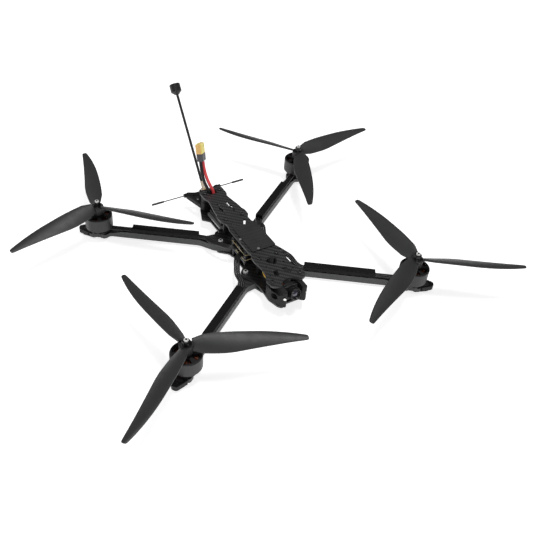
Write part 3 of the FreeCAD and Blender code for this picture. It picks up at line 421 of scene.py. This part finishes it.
def shaft_paint():
    """Ground steel whose polished end is painted near-white, its own bright steel plus a painted
    highlight, round a centre hole painted dark as painted shade.
    """
    paint = Paint("shaft_steel", 0.30, 0.25, 0.6)
    fine = paint.noise(700.0, 3.0)
    bright = paint.mix(fine, (0.86, 0.86, 0.84), (0.98, 0.98, 0.97))
    dark = paint.mix(fine, (0.020, 0.020, 0.020), (0.045, 0.045, 0.045))
    # painted highlight on the steel round the axis, painted shade in the centre hole
    paint.colour(paint.mix(paint.math("GREATER_THAN", off_axis(paint), 1.25 * MM), dark, bright))
    paint.rough(paint.band(fine, 0.2, 0.8, 0.24, 0.40))
    paint.bump(fine, 0.10, 0.00003)
    return paint


def winding_paint():
    """Enamelled copper wire wound in close turns; the turns' crests and patches are painted lighter,
    uneven enamel plus painted glints.
    """
    paint = Paint("copper", 0.32, 0.9, 0.5)
    z = paint.axes()[2]
    turns = paint.math("SINE", paint.math("MULTIPLY", z, 2 * math.pi / (0.55 * MM)))
    tone = paint.math("ADD", paint.math("MULTIPLY", turns, 0.3), paint.noise(400.0, 3.0))
    # painted glints: lighter copper on the turns' crests and in patches, over the enamel's uneven tone
    paint.colour(paint.mix(tone, (0.17, 0.040, 0.018), (0.72, 0.22, 0.10)))
    paint.rough(paint.band(paint.noise(600.0, 2.0), 0.2, 0.8, 0.25, 0.42))
    paint.bump(turns, 0.6, 0.00015)
    return paint


def bolt_nut_paint():
    """Bright zinc nut round the dark end of its bolt."""
    paint = Paint("bolt_nut", 0.30, 0.45, 0.6)
    fine = paint.noise(700.0, 3.0)
    bright = paint.mix(fine, (0.62, 0.62, 0.61), (0.85, 0.85, 0.84))
    dark = paint.mix(fine, (0.010, 0.010, 0.010), (0.030, 0.030, 0.030))
    middle = paint.math("LESS_THAN", off_axis(paint, *ARM_BOLT), 1.45 * MM)
    paint.colour(paint.mix(middle, bright, dark))
    paint.rough(paint.band(fine, 0.2, 0.8, 0.24, 0.40))
    paint.bump(fine, 0.10, 0.00003)
    return paint


def plug_paint():
    """Glossy nylon plug: bright yellow, painted a darker orange on the narrow keyed flank as painted
    shade.
    """
    paint = Paint("plug_yellow", 0.30, 0.0, 0.6)
    fine = paint.noise(2600.0, 2.0)
    cloud = paint.noise(60.0, 3.0)
    bright = paint.mix(cloud, (0.98, 0.79, 0.10), (1.0, 0.88, 0.17))
    # painted shade: darker orange copy of the yellow for the flank facing -x
    shaded_orange = paint.mix(cloud, (0.98, 0.56, 0.16), (1.0, 0.64, 0.24))
    shaded_flank = paint.math("MULTIPLY", paint.axes(paint.normal)[0], -1.0)
    paint.colour(paint.mix(paint.band(shaded_flank, 0.30, 0.55), bright, shaded_orange))
    paint.rough(paint.band(fine, 0.2, 0.8, 0.26, 0.40))
    paint.bump(fine, 0.12, 0.00006)
    return paint


def strand_offset(paint, x, y):
    """Sideways distance from the middle wire of the camera cable, in metres."""
    first_y, last_y = CABLE_COURSE[0][0], CABLE_COURSE[-1][0]
    node = paint.node("ShaderNodeFloatCurve")
    curve = node.mapping.curves[0]
    spots = [((y_mm - first_y) / (last_y - first_y), 1.0 + x_mm / CABLE_SWING)
             for y_mm, x_mm in CABLE_COURSE]
    curve.points[0].location = spots[0]
    curve.points[1].location = spots[-1]
    for spot in spots[1:-1]:
        curve.points.new(*spot)
    node.mapping.update()
    paint.feed(node.inputs["Value"], paint.band(y, first_y * MM, last_y * MM))
    middle = paint.band(node.outputs[0], 0.0, 1.0, -CABLE_SWING * MM, 0.0)
    return paint.math("SUBTRACT", x, middle)


def cable_paint():
    """Thin silicone wires: the strand on each side of the middle one has its own colour."""
    paint = Paint("camera_cable", 0.45, 0.0, 0.5)
    x, y = paint.axes()[:2]
    fine = paint.noise(900.0, 2.0)
    yellow = paint.mix(fine, (0.74, 0.50, 0.04), (0.95, 0.72, 0.10))
    red = paint.mix(fine, (0.62, 0.030, 0.030), (0.85, 0.060, 0.055))
    black = paint.mix(fine, (0.010, 0.010, 0.011), (0.022, 0.022, 0.024))
    sideways = strand_offset(paint, x, y)
    first = paint.mix(paint.math("GREATER_THAN", sideways, -0.62 * MM), yellow, red)
    paint.colour(paint.mix(paint.math("GREATER_THAN", sideways, 0.62 * MM), first, black))
    paint.bump(fine, 0.15, 0.00005)
    return paint


def glass_paint():
    paint = Paint("lens_glass", 0.06, 0.0, 0.8)
    cloud = paint.noise(500.0, 2.0)
    paint.colour(paint.mix(cloud, (0.012, 0.014, 0.030), (0.035, 0.025, 0.060)))
    paint.rough(paint.band(cloud, 0.2, 0.8, 0.04, 0.10))
    paint.bsdf.inputs["Coat Weight"].default_value = 1.0
    paint.bsdf.inputs["Coat Roughness"].default_value = 0.03
    paint.bump(cloud, 0.02, 0.00002)
    return paint


def sleeve_split(name, below, lower, upper, rough=0.5):
    """Two tones split at a height: lower colour under it, upper colour above it."""
    paint = Paint(name, rough, 0.0, 0.5)
    z = paint.axes()[2]
    share = paint.math("GREATER_THAN", z, below * MM)
    fine = paint.noise(1200.0, 3.0)
    low = paint.mix(fine, scaled(lower, 0.85), scaled(lower, 1.12))
    high = paint.mix(fine, scaled(upper, 0.8), scaled(upper, 1.25))
    paint.colour(paint.mix(share, low, high))
    paint.rough(paint.band(paint.noise(200.0, 4.0), 0.2, 0.8, rough - 0.08, rough + 0.1))
    paint.bump(fine, 0.2, 0.00005)
    return paint


# ---- materials ------------------------------------------------------------------
paints = {
    "plate": twill("carbon_top", (0.006, 0.006, 0.0065), (0.060, 0.061, 0.064)),
    # painted shade: the lower plates use the top plate's carbon painted darker, for the shade under the
    # top plate
    "low_plate_shaded": twill("carbon_low_shaded", (0.004, 0.004, 0.0045), (0.034, 0.035, 0.037)),
    "arm": twill("carbon_arm", (0.008, 0.008, 0.0085), (0.046, 0.047, 0.049), 2.2, 0.40),
    "cover": printed("printed_cover", (0.0055, 0.0055, 0.006), 0.62, specular=0.16),
    "print": printed("printed_mount", (0.009, 0.009, 0.0095), 0.55, specular=0.30),
    "screw": moulded("black_screw", (0.075, 0.075, 0.079), 0.30, metal=0.75, grain=3000.0, bump=0.1),
    "post": turned_metal("standoff", (0.030, 0.030, 0.033), 0.30, 0.6),
    "nut": turned_metal("propeller_nut", (0.010, 0.010, 0.0105), 0.30, 0.4),
    "bright": bolt_nut_paint(),
    "steel": turned_metal("screw_steel", (0.80, 0.80, 0.78), 0.22, 1.0),
    "board": circuit("circuit_board", (0.010, 0.012, 0.013), (0.012, 0.012, 0.014), (0.80, 0.66, 0.38),
                     (20.1, 28.1)),
    "grommet": moulded("grommet", (0.020, 0.020, 0.022), 0.65),
    "sink": flanged_sink(),
    "camera": moulded("camera_shell", (0.011, 0.011, 0.012), 0.45, grain=3400.0, specular=0.35),
    "ring": turned_metal("lens_ring", (0.016, 0.016, 0.017), 0.26, 0.4),
    "glass": glass_paint(),
    "cable": cable_paint(),
    "aerial": moulded("aerial_sleeve", (0.011, 0.011, 0.012), 0.42, grain=1800.0),
    "stalk": sleeve_split("aerial_stalk", 36.2, (0.80, 0.70, 0.54), (0.011, 0.011, 0.012)),
    "brass": turned_metal("gold_brass", (0.78, 0.56, 0.26), 0.28, 1.0),
    "red": moulded("lead_red", (0.95, 0.085, 0.095), 0.38, vary=0.08, grain=1500.0),
    "black": moulded("lead_black", (0.011, 0.011, 0.012), 0.42, grain=1500.0),
    "sheath": moulded("sheath_grey", (0.095, 0.095, 0.106), 0.45, vary=0.12),
    "plug": plug_paint(),
    "pad": ribbed_mat(),
    "bell": bell_paint(),
    "shaft": shaft_paint(),
    "base": turned_metal("motor_base", (0.013, 0.013, 0.014), 0.42, 0.3),
    "stator": moulded("stator", (0.016, 0.015, 0.015), 0.40, metal=0.3),
    "copper": winding_paint(),
    "blade": blade_paint(),
}

NODE_PAINT = {
    "bottom_plate": "low_plate_shaded", "mid_plate": "low_plate_shaded", "top_plate": "plate",
    "arm_bolts": "bright", "standoffs": "post", "plate_screws": "screw",
    "esc_board": "board", "flight_controller": "board", "stack_grommets": "grommet",
    "stack_bolts": "screw", "video_transmitter": "sink", "receiver_module": "board",
    "capacitor": "aerial", "camera_guards": "print", "small_screws": "steel",
    "camera_case": "camera", "camera_lens": "ring", "camera_glass": "glass",
    "camera_screws": "steel", "camera_cable": "cable", "rear_mount": "print",
    "link_antenna": "aerial", "antenna_connector": "brass", "antenna_stalk": "stalk",
    "antenna_cap": "aerial", "power_lead_red": "red", "power_lead_black": "black",
    "connector_sheath": "sheath", "power_connector": "plug",
    "battery_pad": "pad", "foot_pads": "print", "motor_bases": "base",
    "stator_cores": "stator", "stator_windings": "copper", "motor_screws": "screw",
    "motor_wires": "black",
}
for arm in ARMS:
    NODE_PAINT["arm_" + arm] = "arm"
    NODE_PAINT["wire_cover_" + arm] = "cover"
    NODE_PAINT["motor_bell_" + arm] = "bell"
    NODE_PAINT["motor_shaft_" + arm] = "shaft"
    NODE_PAINT["propeller_" + arm] = "blade"
    NODE_PAINT["propeller_nut_" + arm] = "nut"


def wear(thing, paint):
    """Give an object one material in every slot it has."""
    if not thing.material_slots:
        thing.data.materials.append(paint.mat)
    for place in thing.material_slots:
        place.material = paint.mat


for name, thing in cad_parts.items():
    wear(thing, paints[NODE_PAINT[name]])
wear(red_lead, paints["red"])
wear(black_lead, paints["black"])


# ---- studio ----------------------------------------------------------------------
FLOOR_SIZE = 8.0
FLOOR_GLOW = 0.72
WORLD_LIGHT = 0.20


def make_floor():
    bpy.ops.mesh.primitive_plane_add(size=FLOOR_SIZE, location=(0, 0, 0))
    floor = bpy.context.object
    floor.name = "floor"
    paint = Paint("floor", 0.85, 0.0, 0.2)
    tone = paint.noise(3.0, 2.0)
    paint.colour(paint.mix(tone, (0.80, 0.80, 0.80), (0.82, 0.82, 0.82)))
    paint.bsdf.inputs["Emission Color"].default_value = (1.0, 1.0, 1.0, 1.0)
    paint.bsdf.inputs["Emission Strength"].default_value = FLOOR_GLOW
    wear(floor, paint)


def area_light(name, place, target, size, power):
    data = bpy.data.lights.new(name, "AREA")
    data.shape = "DISK"
    data.size = size
    data.energy = power
    light = bpy.data.objects.new(name, data)
    bpy.context.scene.collection.objects.link(light)
    light.location = place
    light.rotation_euler = (Vector(target) - Vector(place)).to_track_quat("-Z", "Y").to_euler()
    return light


def make_light():
    area_light("overhead", (0.40, 0.05, 2.4), (0, 0, 0.03), 0.8, 26.0)
    area_light("back", (-1.9, 1.6, 1.9), (0, 0, 0.03), 1.2, 9.0)
    area_light("front", (-1.0, -1.6, 1.2), (0, 0, 0.05), 0.9, 7.0)
    world = bpy.data.worlds.new("studio")
    world.use_nodes = True
    background = world.node_tree.nodes["Background"]
    background.inputs["Color"].default_value = (1.0, 1.0, 1.0, 1.0)
    background.inputs["Strength"].default_value = WORLD_LIGHT
    bpy.context.scene.world = world
    bpy.context.scene.view_settings.view_transform = "Standard"
    bpy.context.scene.view_settings.look = "None"
    bpy.context.scene.view_settings.exposure = 0.0
    bpy.context.scene.view_settings.gamma = 1.0


make_floor()
make_light()
